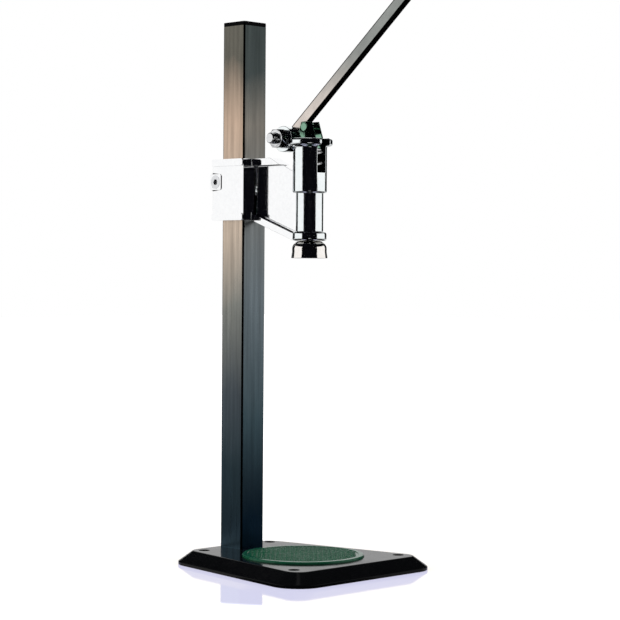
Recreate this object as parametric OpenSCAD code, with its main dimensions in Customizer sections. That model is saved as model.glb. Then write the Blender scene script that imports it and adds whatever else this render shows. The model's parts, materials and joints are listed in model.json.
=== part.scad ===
// Bench capper for crown caps. A moulded base carries a bottle mat and a square column.
// A cast carrier slides on the column and holds the barrel of the head. The lever turns on a bolt
// behind the barrel and pushes the press head down, and with it the rod and the crimping bell.
// Millimetres, Z up. The bell's axis is the Z axis, and the operator stands at -Y.

/* [Base] */
// Bell axis to the front edge of the base's top face
base_front = 68; // [66:1:90]
// Column's rear face to the back edge of the top face
base_back_margin = 3; // [2:0.5:20]
// Width of the top face at the front edge
base_front_w = 167; // [150:1:200]
// Width of the top face at the back edge
base_back_w = 106; // [96:1:140]
// Height of the base
base_h = 13; // [13:0.5:20]
// Height of the upright lip under the bevel
base_lip = 3; // [2:0.5:5]
// How far the bevelled side runs out from the top face
base_bevel = 14; // [10:0.5:16]
// Corner radius of the lip
base_corner_r = 27; // [23:1:32]
// Wall of the base's skirt
base_wall = 3; // [2:0.5:4]
// Thickness of the base's deck
base_deck = 4; // [3.5:0.25:4.5]
// Thickness of the stiffening ribs
rib_t = 2.4; // [1.5:0.1:4]
// Distance from one rib to the next
rib_pitch = 42; // [30:1:55]
// Bench screw hole
bench_hole_d = 5.5; // [4:0.1:6.5]
// Recess for a bench screw's head
bench_head_d = 10; // [9:0.5:12]
// Depth of that recess
bench_head_depth = 4; // [2:0.5:6]
// Wall of the boss round a bench screw hole
bench_boss_wall = 2.5; // [2:0.25:3.5]
// Bench holes in from the front edge of the top face
bench_front_in = 16; // [12:1:20]
// Bench holes in from the back edge of the top face
bench_back_in = 12; // [10:1:16]
// Bench holes in from the front corners of the top face
bench_front_side = 13.5; // [12:0.5:20]
// Bench holes in from the back corners of the top face
bench_back_side = 9; // [8:0.5:14]

/* [Bottle mat] */
// Diameter of the mat
mat_d = 115; // [100:1:118]
// Thickness of the mat
mat_t = 3.6; // [3:0.1:5]
// Depth of the seat for the mat in the deck
mat_seat = 1.5; // [1:0.1:2]
// How far the mat's centre lies behind the bell axis
mat_back = 6; // [0:0.5:7]
// Gap round the mat in its seat
mat_gap = 0.25; // [0.1:0.05:0.5]
// Width of the mat's plain outer band
mat_band = 5; // [3:0.5:12]
// Edge radius of the mat
mat_edge_r = 1.4; // [0.6:0.1:1.8]
// Depth of the sunk field that the bottle stands on
mat_field = 0.6; // [0.3:0.1:1.2]

/* [Column] */
// Bell axis to the column's axis
column_y = 90; // [88:1:110]
// Side of the square tube
column_w = 30; // [28:0.5:34]
// Wall of the tube
column_wall = 2; // [1.5:0.25:3]
// Outer corner radius of the tube
column_r = 2; // [1.6:0.1:3]
// Length of the tube above the deck
column_h = 506; // [480:1:620]
// Height of the cap on top of the tube
cap_h = 4; // [2.5:0.25:8]
// How far the cap's plug reaches into the tube
cap_plug = 14; // [8:1:30]
// Wall of the cap's hollow plug
cap_plug_wall = 3; // [1.5:0.25:4]
// Gap between the tube and what is pushed into it
plug_gap = 0.1; // [0.05:0.05:0.3]
// Height of the nut block in the tube's foot
foot_h = 30; // [24:1:60]
// Diameter of the foot bolt
foot_bolt_d = 10; // [8:0.5:11]
// Length of the foot bolt above its washer
foot_bolt_len = 26; // [16:1:30]
// Across flats of the foot bolt's head
foot_head_af = 17; // [15:0.5:18]
// Height of the foot bolt's head
foot_head_h = 6.4; // [4:0.2:6.6]
// Diameter of the foot washer
foot_washer_d = 28; // [24:1:34]
// Gap round the foot washer in its pocket
foot_pocket_gap = 1; // [0.5:0.25:3]
// Thickness of the foot washer
foot_washer_t = 2; // [1:0.25:2.25]

/* [Carrier] */
// Underside of the carrier at its usual working height
carrier_z = 330.5; // [300:0.5:380]
// Height of the carrier
carrier_h = 59.5; // [54:0.5:75]
// Wall of the carrier
carrier_wall = 3; // [2.5:0.25:5]
// Gap between the carrier and the column
slide_gap = 0.3; // [0.2:0.05:0.5]
// How far the cheeks reach behind the column
carrier_tail = 10; // [6:0.25:16]
// Height of the rims on the cheeks
rim_h = 6.8; // [5:0.2:9]
// How far the rims stand out from the cheeks
rim_out = 1.6; // [0.8:0.1:4]
// Edge radius of the rims
rim_r = 2; // [1:0.1:2.4]
// Thickness of the arm's web
web_t = 3; // [2.5:0.25:6]
// Width of the arm's rims
arm_rim_w = 14; // [12:0.5:18]
// Height of the arm's rims
arm_rim_h = 6.8; // [5:0.2:9]
// Radius of the hollow between the arm and the carrier's front
arm_fillet = 3; // [2:0.25:6]
// Length of the level stretch of the arm's top rim
arm_level = 25; // [16:1:32]
// Drop of the arm's top edge from the carrier to the barrel
arm_top_drop = 16; // [8:0.5:24]
// Drop of the arm's lower edge from the carrier to the barrel
arm_low_drop = 19.5; // [8:0.5:19.5]

/* [Clamp] */
// Diameter of the clamp bolt
clamp_d = 8; // [6:0.5:8.5]
// Height of the clamp bolt above the carrier's underside
clamp_up = 37.5; // [18:0.5:44]
// Diameter of the sleeve that bears on the column's rear face
clamp_sleeve_d = 10.4; // [10:0.1:12]
// Diameter of the clamp bolt's countersunk head
clamp_head_d = 13; // [11:0.25:13.5]
// Across flats of the key socket in that head
clamp_key_af = 5; // [4:0.25:5.5]
// Depth of the key socket
clamp_key_depth = 2.4; // [1.5:0.1:4]
// Across flats of the clamp nut
clamp_af = 13; // [11:0.5:14]
// Height of the clamp nut
clamp_nut_h = 6.5; // [5:0.1:8]
// Length of the clamp bolt's end past its nut
clamp_end = 3; // [1:0.5:6]
// Diameter of the plain clamp washer
clamp_washer_d = 15; // [14:0.25:17]
// Diameter of the lock washer under the nut
clamp_lock_d = 13; // [12:0.25:14]
// Thickness of each clamp washer
clamp_washer_t = 1.6; // [1:0.1:2]
// Side of the square ears that the clamp bolt goes through
clamp_ear = 15.5; // [14.5:0.25:20]
// Corner radius of the ears
clamp_ear_r = 2; // [1:0.25:4]
// How far the ears stand out from the cheeks
clamp_ear_out = 0.8; // [0.5:0.1:1.5]

/* [Barrel] */
// Diameter of the upper barrel
barrel_d = 32.4; // [31:0.2:36]
// Diameter of the lower barrel
barrel_low_d = 26; // [24.6:0.2:27]
// Bore of the upper barrel, for the press head and the spring
barrel_bore_d = 25; // [24:0.2:25.4]
// Bore of the lower barrel, for the bush
bush_bore_d = 21.2; // [20:0.2:21.4]
// Height of the ring at the barrel's foot
ring_h = 8.6; // [6:0.2:9]
// Diameter of that ring
ring_d = 32.4; // [30:0.2:35]
// Underside of the ring below the carrier's underside
ring_drop = 20.2; // [19.8:0.2:26]
// Length of the lower barrel above the ring
barrel_low_len = 36.6; // [30:0.2:42]
// Length of the upper barrel below the flange
barrel_up_len = 44.1; // [40:0.1:52]
// Depth of the shoulder between the two bores, on which the spring stands
bore_shoulder = 3; // [2:0.25:5]
// Diameter of the flange
flange_d = 43; // [40:0.5:46]
// Thickness of the flange
flange_t = 7; // [5:0.25:8]
// Edge radius of the flange and of the ring
disc_edge_r = 2.4; // [1.5:0.1:2.4]
// Fillet under the flange
flange_fillet = 1.8; // [1:0.1:1.8]
// Edge radius of the upper barrel's lower end
barrel_edge_r = 1.6; // [0.8:0.1:1.9]
// Width of the slots that let the lever swing
slot_w = 10.6; // [9.6:0.2:13]
// Depth of the front slot below the flange
slot_depth = 25; // [18:0.5:30]
// Length of the guide bush
bush_len = 27.8; // [20:0.2:32]
// Radial running gap of pins and rods
run_gap = 0.05; // [0.02:0.01:0.09]

/* [Fulcrum] */
// Bell axis to the fulcrum
fulcrum_y = 21.5; // [21:0.25:26]
// Fulcrum above the flange
fulcrum_up = 0; // [0:0.25:4]
// Diameter of the fulcrum bolt
fulcrum_d = 10; // [8:0.5:11]
// Diameter of the lugs that hold the bolt
lug_d = 24.4; // [22:0.2:26]
// Thickness of a lug
lug_t = 10.5; // [8:0.25:14]
// Gap between the lugs
lug_gap = 9; // [8.8:0.1:10]
// Across flats of the fulcrum bolt's head and nut
fulcrum_af = 17; // [15:0.5:19]
// Height of the fulcrum bolt's head
fulcrum_head_h = 6.4; // [5:0.2:9]
// Height of the fulcrum nut
fulcrum_nut_h = 8; // [6:0.2:10]
// Length of the bolt's end past its nut
fulcrum_end = 7.5; // [2:0.5:8]
// Diameter of the fulcrum washers
fulcrum_washer_d = 17.5; // [16:0.5:19]
// Thickness of the fulcrum washers
fulcrum_washer_t = 2; // [1:0.1:3]

/* [Press head] */
// Running gap round the press head in the barrel
head_gap = 0.3; // [0.2:0.05:0.4]
// Length of the press head's straight skirt
head_skirt = 11; // [9:0.5:15]
// Height of the tapered dome with its two ears
head_dome = 14.5; // [13:0.25:18]
// Diameter across the top of the dome
head_top_d = 17; // [16:0.5:20]
// Gap between the lever and each ear
ear_gap = 0.4; // [0.3:0.05:0.5]
// Depth of the slot between the ears
ear_slot = 11.5; // [11:0.25:13]
// Diameter of the pin that the lever pushes on
head_pin_d = 8; // [6:0.5:9]
// Height of the ears above the pin
ear_cover = 1.3; // [1:0.1:2]
// Clear height between the lever and the pin at rest
lever_play = 0.9; // [0.85:0.05:1.2]

/* [Plunger and bell] */
// Diameter of the plunger rod
rod_d = 14; // [12:0.25:15]
// Diameter of the rod's spigot in the press head
spigot_d = 9; // [7:0.5:10]
// Length of that spigot
spigot_len = 8; // [5:0.5:9]
// Gap between the bell and the barrel's ring at rest
bell_gap = 0.3; // [0.2:0.05:0.6]
// Height of the bell
bell_h = 16; // [15:0.25:20]
// Diameter of the bell's shoulder
bell_d = 33; // [31:0.1:34]
// Diameter of the bell's flared lip
bell_lip_d = 34.4; // [34:0.1:38]
// Height of the upright edge of the bell's lip
bell_lip_h = 1; // [0.6:0.1:2]
// Radius of the bell's shoulder
bell_shoulder_r = 7; // [3:0.25:7.5]
// Diameter of the crimping throat
throat_d = 28.7; // [28.5:0.05:29.2]
// Length of the crimping throat
throat_len = 5.8; // [5:0.2:7]
// Diameter of the bell's mouth
mouth_d = 32.6; // [32.2:0.1:33.4]
// Length of the bell's flared mouth
mouth_len = 4.6; // [3.5:0.1:6]
// Diameter of the cap magnet
magnet_d = 16; // [13:0.5:20]
// Thickness of the cap magnet
magnet_t = 2.4; // [1.5:0.1:2.6]
// Diameter of the bell screw
bell_screw_d = 5; // [4:0.5:6]
// Diameter of the bell screw's countersunk head
bell_screw_head_d = 9; // [8:0.5:11]
// Length of the bell screw above its head
bell_screw_len = 16; // [12:0.5:24]

/* [Return spring] */
// Mean diameter of the coil
spring_d = 22.2; // [22:0.1:22.4]
// Diameter of the wire
spring_wire = 1.9; // [1.4:0.1:1.9]
// Turns of the coil, with its closed ends
spring_turns = 5; // [4:0.5:5]
// Angle at which the wire starts
spring_start = -74; // [-180:1:180]
// Gap between the spring's top and the press head
spring_gap = 0.1; // [0.05:0.05:0.3]

/* [Lever] */
// Angle of the lever above the level at rest
lever_rest = 40; // [30:1:45]
// Length of the lever from the fulcrum
lever_len = 400; // [320:5:520]
// Width of the lever bar
lever_w = 8; // [7:0.25:8]
// Depth of the lever bar
lever_d = 10; // [9:0.25:11]
// How far the bar's middle lies above the fulcrum
lever_off = 4; // [3.5:0.25:5]
// Diameter of the lever's eye
eye_d = 17; // [16:0.25:18]
// Diameter of the bush in the eye
lever_bush_d = 13; // [12.5:0.25:14]
// How far the bush stands out of the eye on each side
lever_bush_out = 0.2; // [0.1:0.05:0.3]
// Length of the grip
grip_len = 115; // [90:1:150]
// Diameter of the grip at its middle
grip_d = 29; // [26:0.5:36]
// Diameter of the grip at its ends
grip_end_d = 24; // [22:0.5:28]
// Gap between the bar and the socket in the grip
grip_gap = 0.1; // [0.05:0.05:0.3]
// How far the bar stops short of the grip's far end
grip_cover = 6; // [3:0.5:12]

/* [Hidden] */
$fn = 64;
hull_fn = 32;
// How far a cutting body reaches past what it cuts
past = 1;

// Base
base_back = column_y + column_w / 2 + base_back_margin;
base_len = base_front + base_back;
side_turn = atan((base_front_w - base_back_w) / 2 / base_len);
deck_under = base_h - base_deck;
top_corner_r = base_corner_r - base_bevel;
boss_d = bench_head_d + 2 * bench_boss_wall;
foot_pocket_d = foot_washer_d + 2 * foot_pocket_gap;
bench_holes = [
    for (side = [-1, 1], end = [0, 1])
        end == 0
            ? [side * (base_front_w / 2 - bench_front_side), -base_front + bench_front_in]
            : [side * (base_back_w / 2 - bench_back_side), base_back - bench_back_in]
];

// Column
tube_in = column_w - 2 * column_wall;
tube_in_r = max(column_r - column_wall, plug_gap);
plug_w = tube_in - 2 * plug_gap;
column_top = base_h + column_h;

// Carrier
jaw_in = column_w / 2 + slide_gap;
jaw_out = jaw_in + carrier_wall;
jaw_front = column_y - jaw_out;
jaw_rear = column_y + column_w / 2 + carrier_tail;
carrier_top = carrier_z + carrier_h;
clamp_y = column_y + jaw_in + clamp_sleeve_d / 2;
clamp_z = carrier_z + clamp_up;
clamp_face = jaw_out + clamp_ear_out;
clamp_reach = clamp_face + 2 * clamp_washer_t;
clamp_cone = (clamp_head_d - clamp_d) / 2;

// Barrel
ring_z = carrier_z - ring_drop;
step_z = ring_z + ring_h + barrel_low_len;
flange_z = step_z + barrel_up_len;
flange_top = flange_z + flange_t;
spring_seat = step_z + bore_shoulder;
bush_top = ring_z + bush_len;
fulcrum_z = flange_top + fulcrum_up;
lug_out = lug_gap / 2 + lug_t;
eye_clear = eye_d / 2 + slide_gap;
spot_d = fulcrum_af / cos(30) + 2 * slide_gap;

// Lever and press head: the pin lies under the lever's lower edge where that crosses the bell axis
lever_low = lever_d / 2 - lever_off;
pin_drop = (lever_low + head_pin_d / 2) / cos(lever_rest);
head_pin_z = fulcrum_z + fulcrum_y * tan(lever_rest) - pin_drop - lever_play;
head_r = barrel_bore_d / 2 - head_gap;
head_top_z = head_pin_z + head_pin_d / 2 + ear_cover;
dome_z = head_top_z - head_dome;
head_z = dome_z - head_skirt;
ear_w = lever_w + 2 * ear_gap;

// Plunger and bell
bell_top = ring_z - bell_gap;
bell_low = bell_top - bell_h;
throat_z = bell_low + mouth_len;
throat_top = throat_z + throat_len;
spring_len = head_z - spring_seat - spring_gap;

// A square with round corners, centred
module soft_square(w, r) {
    square([w, w - 2 * r], center = true);
    square([w - 2 * r, w], center = true);
    for (x = [-1, 1], y = [-1, 1])
        translate([x * (w / 2 - r), y * (w / 2 - r)])
            circle(r);
}

// What a round edge takes off the outer corner of a section
module corner_trim(r) {
    difference() {
        square(r + past);
        circle(r);
    }
}

// A plate that stands in the YZ plane, drawn as points of Y and Z and centred on X
module side_plate(points, w) {
    rotate([90, 0, 90])
        linear_extrude(w, center = true)
            polygon(points);
}

// A cylinder along X, centred
module cross_rod(d, len) {
    rotate([0, 90, 0])
        cylinder(d = d, h = len, center = true);
}

// A hexagon prism along X from x = 0, towards the sign of len, with its flats level
module cross_hex(af, len) {
    rotate([0, 90, 0])
        rotate(30)
            translate([0, 0, min(len, 0)])
                cylinder(d = af / cos(30), h = abs(len), $fn = 6);
}

// A washer along X from x = 0 to x = t
module cross_washer(d, bore, t) {
    rotate([0, 90, 0])
        difference() {
            cylinder(d = d, h = t);
            translate([0, 0, -past])
                cylinder(d = bore, h = t + 2 * past);
        }
}

// The outside of the base, drawn in by an even wall, from the bench up to a given height
module base_block(wall, top) {
    hull()
        for (side = [-1, 1], end = [0, 1]) {
            half = end == 0 ? base_front_w / 2 : base_back_w / 2;
            turn = end == 0 ? 45 - side_turn / 2 : 45 + side_turn / 2;
            x = half - top_corner_r / tan(turn);
            y = end == 0 ? -base_front + top_corner_r : base_back - top_corner_r;
            translate([side * x, y, 0]) {
                cylinder(r = base_corner_r - wall, h = base_lip, $fn = hull_fn);
                translate([0, 0, base_lip])
                    cylinder(r1 = base_corner_r - wall, r2 = top_corner_r - wall, h = top - base_lip, $fn = hull_fn);
            }
        }
}

module base_shell() {
    color("#151516")
        difference() {
            union() {
                difference() {
                    base_block(0, base_h);
                    translate([0, 0, -past])
                        base_block(base_wall, deck_under + past);
                }
                intersection() {
                    base_block(base_wall / 2, deck_under + past);
                    base_ribs();
                }
            }
            translate([0, mat_back, base_h - mat_seat])
                cylinder(d = mat_d + 2 * mat_gap, h = mat_seat + past);
            translate([0, column_y, -past])
                cylinder(d = foot_bolt_d + 2 * plug_gap, h = base_h + 2 * past);
            translate([0, column_y, -past])
                cylinder(d = foot_pocket_d, h = deck_under + past);
            for (p = bench_holes)
                translate([p.x, p.y, 0]) {
                    translate([0, 0, -past])
                        cylinder(d = bench_hole_d, h = base_h + 2 * past);
                    translate([0, 0, base_h - bench_head_depth])
                        cylinder(d = bench_head_d, h = bench_head_depth + past);
                }
        }
}

// Ribs both ways under the deck, a boss round each bench hole and a wall round the foot washer's pocket
module base_ribs() {
    rib_n = ceil(base_len / rib_pitch);
    for (i = [-rib_n:rib_n]) {
        translate([i * rib_pitch - rib_t / 2, -base_len, 0])
            cube([rib_t, 2 * base_len, deck_under + past]);
        translate([-base_len, i * rib_pitch - rib_t / 2, 0])
            cube([2 * base_len, rib_t, deck_under + past]);
    }
    for (p = bench_holes)
        translate([p.x, p.y, 0])
            cylinder(d = boss_d, h = deck_under + past);
    translate([0, column_y, 0])
        cylinder(d = foot_pocket_d + 2 * rib_t, h = deck_under + past);
}

module bottle_mat() {
    color("#1f5a37")
        translate([0, mat_back, base_h - mat_seat])
            rotate_extrude()
                difference() {
                    square([mat_d / 2, mat_t]);
                    translate([mat_d / 2 - mat_edge_r, mat_t - mat_edge_r])
                        corner_trim(mat_edge_r);
                    translate([-past, mat_t - mat_field])
                        square([mat_d / 2 - mat_band + past, mat_field + past]);
                }
}

module column_tube() {
    color("#2c2a28")
        translate([0, column_y, base_h])
            linear_extrude(column_h)
                difference() {
                    soft_square(column_w, column_r);
                    soft_square(tube_in, tube_in_r);
                }
}

module column_cap() {
    color("#111111")
        translate([0, column_y, column_top]) {
            linear_extrude(cap_h)
                soft_square(column_w, column_r);
            translate([0, 0, -cap_plug])
                linear_extrude(cap_plug)
                    difference() {
                        square(plug_w, center = true);
                        square(plug_w - 2 * cap_plug_wall, center = true);
                    }
        }
}

module column_foot() {
    color("#6a6a6a")
        translate([0, column_y, base_h])
            difference() {
                linear_extrude(foot_h)
                    square(plug_w, center = true);
                translate([0, 0, -past])
                    cylinder(d = foot_bolt_d + 2 * run_gap, h = foot_h + 2 * past);
            }
}

module foot_bolt() {
    color("#8a8a88")
        translate([0, column_y, deck_under - foot_washer_t]) {
            cylinder(d = foot_bolt_d, h = foot_bolt_len);
            translate([0, 0, -foot_head_h])
                cylinder(d = foot_head_af / cos(30), h = foot_head_h, $fn = 6);
        }
}

module foot_washer() {
    color("#9a9a98")
        translate([0, column_y, deck_under - foot_washer_t])
            difference() {
                cylinder(d = foot_washer_d, h = foot_washer_t);
                translate([0, 0, -past])
                    cylinder(d = foot_bolt_d + 2 * run_gap, h = foot_washer_t + 2 * past);
            }
}

// A rim along both cheeks of the carrier, with round ends, from height z
module cheek_rim(z) {
    len = jaw_rear - jaw_front;
    translate([0, jaw_front, z])
        rotate([90, 0, 90])
            linear_extrude(2 * (jaw_out + rim_out), center = true) {
                translate([rim_r, 0])
                    square([len - 2 * rim_r, rim_h]);
                translate([0, rim_r])
                    square([len, rim_h - 2 * rim_r]);
                for (x = [rim_r, len - rim_r], y = [rim_r, rim_h - rim_r])
                    translate([x, y])
                        circle(rim_r);
            }
}

// The arm from the carrier's front to the barrel: a web with a rim along each edge
module carrier_arm() {
    root = jaw_front + carrier_wall / 2;
    bend = jaw_front - arm_level;
    tip = bush_bore_d / 2;
    top_slope = arm_top_drop / (bend - barrel_d / 2);
    top_tip = carrier_top - top_slope * (bend - tip);
    low_tip = carrier_z - arm_low_drop;
    side_plate([
        [root, carrier_z], [root, carrier_top], [bend, carrier_top], [tip, top_tip],
        [tip, low_tip], [barrel_d / 2, low_tip], [jaw_front, carrier_z]
    ], web_t);
    side_plate([
        [root, carrier_top - arm_rim_h], [root, carrier_top], [bend, carrier_top],
        [bend - arm_rim_h / top_slope, carrier_top - arm_rim_h]
    ], arm_rim_w);
    side_plate([
        [root, carrier_z], [root, carrier_z + arm_rim_h], [jaw_front, carrier_z + arm_rim_h],
        [barrel_d / 2, low_tip + arm_rim_h], [tip, low_tip + arm_rim_h],
        [tip, low_tip], [barrel_d / 2, low_tip], [jaw_front, carrier_z]
    ], arm_rim_w);
    for (side = [-1, 1])
        scale_side(side)
            translate([web_t / 2, jaw_front, carrier_z])
                linear_extrude(carrier_h)
                    arm_hollow();
}

// Puts a shape on the left or the right side
module scale_side(side) {
    if (side > 0)
        children();
    else
        mirror([1, 0, 0])
            children();
}

// Section of the hollow between the arm's web and the carrier's front
module arm_hollow() {
    difference() {
        translate([0, -arm_fillet])
            square([arm_fillet, arm_fillet + carrier_wall / 2]);
        translate([arm_fillet, -arm_fillet])
            circle(arm_fillet);
    }
}

module head_carrier() {
    color("#d9dcdf")
        difference() {
            union() {
                translate([-jaw_out, jaw_front, carrier_z])
                    cube([2 * jaw_out, jaw_rear - jaw_front, carrier_h]);
                cheek_rim(carrier_z);
                cheek_rim(carrier_top - rim_h);
                translate([0, clamp_y, clamp_z])
                    clamp_ears();
                carrier_arm();
            }
            translate([-jaw_in, column_y - jaw_in, carrier_z - past])
                cube([2 * jaw_in, jaw_rear, carrier_h + 2 * past]);
            translate([0, clamp_y, clamp_z])
                cross_rod(clamp_d + 2 * plug_gap, 4 * jaw_out);
            translate([-clamp_face, clamp_y, clamp_z])
                clamp_sink(plug_gap);
            rotate_extrude()
                barrel_outline();
        }
}

// Square ears on the rear of both cheeks, for the clamp bolt
module clamp_ears() {
    rotate([90, 0, 90])
        linear_extrude(2 * clamp_face, center = true)
            soft_square(clamp_ear, clamp_ear_r);
}

// The cone of the clamp bolt's countersunk head from x = 0, made wider by a gap
module clamp_sink(gap) {
    rotate([0, 90, 0])
        cylinder(d1 = clamp_head_d + 2 * gap, d2 = clamp_d + 2 * gap, h = clamp_cone);
}

module clamp_bolt() {
    color("#b9bcc0")
        translate([-clamp_face, clamp_y, clamp_z])
            difference() {
                union() {
                    clamp_sink(0);
                    rotate([0, 90, 0])
                        cylinder(d = clamp_d, h = clamp_face + clamp_reach + clamp_nut_h + clamp_end);
                }
                translate([-past, 0, 0])
                    cross_hex(clamp_key_af, clamp_key_depth + past);
            }
}

module clamp_nut() {
    color("#b0b3b6")
        translate([clamp_reach, clamp_y, clamp_z])
            difference() {
                cross_hex(clamp_af, clamp_nut_h);
                cross_rod(clamp_d + 2 * run_gap, 4 * clamp_nut_h);
            }
}

// A plain washer on the right ear and a lock washer between it and the nut
module clamp_washers() {
    color("#c4c6c8")
        translate([clamp_face, clamp_y, clamp_z]) {
            cross_washer(clamp_washer_d, clamp_d + 2 * run_gap, clamp_washer_t);
            translate([clamp_washer_t, 0, 0])
                cross_washer(clamp_lock_d, clamp_d + 2 * run_gap, clamp_washer_t);
        }
}

module clamp_sleeve() {
    len = 2 * jaw_in - 2 * plug_gap;
    color("#a5a8aa")
        translate([-len / 2, clamp_y, clamp_z])
            cross_washer(clamp_sleeve_d, clamp_d + 2 * plug_gap, len);
}

// Half section of a disc with a round edge
module round_disc(d, t, r) {
    square([d / 2 - r, t]);
    translate([0, r])
        square([d / 2, t - 2 * r]);
    for (z = [r, t - r])
        translate([d / 2 - r, z])
            circle(r);
}

// Half section of the barrel's outside: ring, lower barrel, upper barrel, fillet and flange
module barrel_outline() {
    translate([0, ring_z])
        square([barrel_low_d / 2, step_z - ring_z + past]);
    translate([0, ring_z])
        round_disc(ring_d, ring_h, disc_edge_r);
    difference() {
        translate([0, step_z])
            square([barrel_d / 2, flange_top - step_z]);
        translate([barrel_d / 2 - barrel_edge_r, step_z + barrel_edge_r])
            mirror([0, 1])
                corner_trim(barrel_edge_r);
    }
    translate([0, flange_z - flange_fillet])
        difference() {
            square([barrel_d / 2 + flange_fillet, flange_fillet + flange_t / 2]);
            translate([barrel_d / 2 + flange_fillet, 0])
                circle(flange_fillet);
        }
    translate([0, flange_z])
        round_disc(flange_d, flange_t, disc_edge_r);
}

// The two lugs behind the flange, with the ledge that joins them to it
module fulcrum_lugs() {
    for (side = [-1, 1])
        translate([side * (lug_gap + lug_t) / 2, 0, 0]) {
            translate([0, fulcrum_y, fulcrum_z])
                cross_rod(lug_d, lug_t);
            translate([-lug_t / 2, 0, flange_z])
                cube([lug_t, fulcrum_y, flange_t]);
        }
}

module barrel() {
    over = lug_d;
    color("#c3ccd2")
        difference() {
            union() {
                rotate_extrude()
                    barrel_outline();
                fulcrum_lugs();
            }
            translate([0, 0, spring_seat])
                cylinder(d = barrel_bore_d, h = flange_top + over - spring_seat);
            translate([0, 0, ring_z - past])
                cylinder(d = bush_bore_d, h = spring_seat - ring_z + 2 * past);
            translate([-slot_w / 2, -flange_d, flange_z - slot_depth])
                cube([slot_w, flange_d, slot_depth + flange_t + over]);
            translate([-lug_gap / 2, 0, fulcrum_z - eye_clear])
                cube([lug_gap, fulcrum_y + lug_d, eye_clear + over]);
            translate([0, fulcrum_y, fulcrum_z])
                cross_rod(fulcrum_d + 2 * plug_gap, 4 * lug_out);
            for (side = [-1, 1])
                translate([side * (lug_out + flange_d / 2), fulcrum_y, fulcrum_z])
                    cross_rod(spot_d, flange_d);
        }
}

module guide_bush() {
    color("#a9884a")
        translate([0, 0, ring_z])
            difference() {
                cylinder(d = bush_bore_d, h = bush_len);
                translate([0, 0, -past])
                    cylinder(d = rod_d + 2 * run_gap, h = bush_len + 2 * past);
            }
}

module fulcrum_bolt() {
    seat = lug_out + fulcrum_washer_t;
    color("#3a3b3d")
        translate([0, fulcrum_y, fulcrum_z]) {
            translate([seat, 0, 0])
                cross_hex(fulcrum_af, fulcrum_head_h);
            translate([-seat - fulcrum_nut_h - fulcrum_end, 0, 0])
                rotate([0, 90, 0])
                    cylinder(d = fulcrum_d, h = 2 * seat + fulcrum_nut_h + fulcrum_end);
        }
}

module fulcrum_nut() {
    color("#2f3032")
        translate([-lug_out - fulcrum_washer_t, fulcrum_y, fulcrum_z])
            difference() {
                cross_hex(fulcrum_af, -fulcrum_nut_h);
                cross_rod(fulcrum_d + 2 * run_gap, 4 * fulcrum_nut_h);
            }
}

module fulcrum_washers() {
    color("#d5d7d9")
        for (x = [-lug_out - fulcrum_washer_t, lug_out])
            translate([x, fulcrum_y, fulcrum_z])
                cross_washer(fulcrum_washer_d, fulcrum_d + 2 * run_gap, fulcrum_washer_t);
}

module press_head() {
    color("#1c6b3a")
        difference() {
            rotate_extrude()
                polygon([
                    [0, head_z], [head_r, head_z], [head_r, dome_z], [head_top_d / 2, head_top_z], [0, head_top_z]
                ]);
            translate([-ear_w / 2, -barrel_d, head_top_z - ear_slot])
                cube([ear_w, 2 * barrel_d, ear_slot + past]);
            translate([0, 0, head_pin_z])
                cross_rod(head_pin_d, 2 * barrel_d);
            translate([0, 0, head_z - past])
                cylinder(d = spigot_d, h = spigot_len + past);
        }
}

module head_pin() {
    ear_taper = (head_r - head_top_d / 2) / head_dome;
    half = head_top_d / 2 + ear_taper * (head_top_z - head_pin_z - head_pin_d / 2);
    color("#c9ccce")
        translate([0, 0, head_pin_z])
            cross_rod(head_pin_d, 2 * half);
}

module plunger_rod() {
    color("#b5b9bc")
        difference() {
            union() {
                translate([0, 0, bell_top])
                    cylinder(d = rod_d, h = head_z - bell_top);
                translate([0, 0, head_z - past])
                    cylinder(d = spigot_d, h = spigot_len + past);
            }
            translate([0, 0, bell_top - past])
                cylinder(d = bell_screw_d + 2 * run_gap, h = bell_screw_len + past);
        }
}

module bell() {
    color("#a89d90")
        difference() {
            rotate_extrude()
                difference() {
                    polygon([
                        [0, bell_low], [bell_lip_d / 2, bell_low], [bell_lip_d / 2, bell_low + bell_lip_h],
                        [bell_d / 2, throat_z + bell_lip_h], [bell_d / 2, bell_top], [0, bell_top]
                    ]);
                    translate([bell_d / 2 - bell_shoulder_r, bell_top - bell_shoulder_r])
                        corner_trim(bell_shoulder_r);
                }
            translate([0, 0, throat_z - past])
                cylinder(d = throat_d, h = throat_len + past);
            translate([0, 0, bell_low])
                cylinder(d1 = mouth_d, d2 = throat_d, h = mouth_len);
            translate([0, 0, throat_top - past])
                cylinder(d = magnet_d, h = magnet_t + past);
            cylinder(d = bell_screw_d + 2 * run_gap, h = bell_top + past);
        }
}

// Cone of the bell screw's countersunk head, from the magnet's face up
module screw_cone() {
    depth = (bell_screw_head_d - bell_screw_d) / 2;
    translate([0, 0, throat_top])
        cylinder(d1 = bell_screw_head_d, d2 = bell_screw_d, h = depth);
}

module bell_screw() {
    color("#8c8f92") {
        screw_cone();
        translate([0, 0, throat_top])
            cylinder(d = bell_screw_d, h = bell_screw_len);
    }
}

module cap_magnet() {
    color("#5d5f62")
        difference() {
            translate([0, 0, throat_top])
                cylinder(d = magnet_d, h = magnet_t);
            screw_cone();
            translate([0, 0, throat_top - past])
                cylinder(d = bell_screw_d + 2 * run_gap, h = magnet_t + 2 * past);
        }
}

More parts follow.
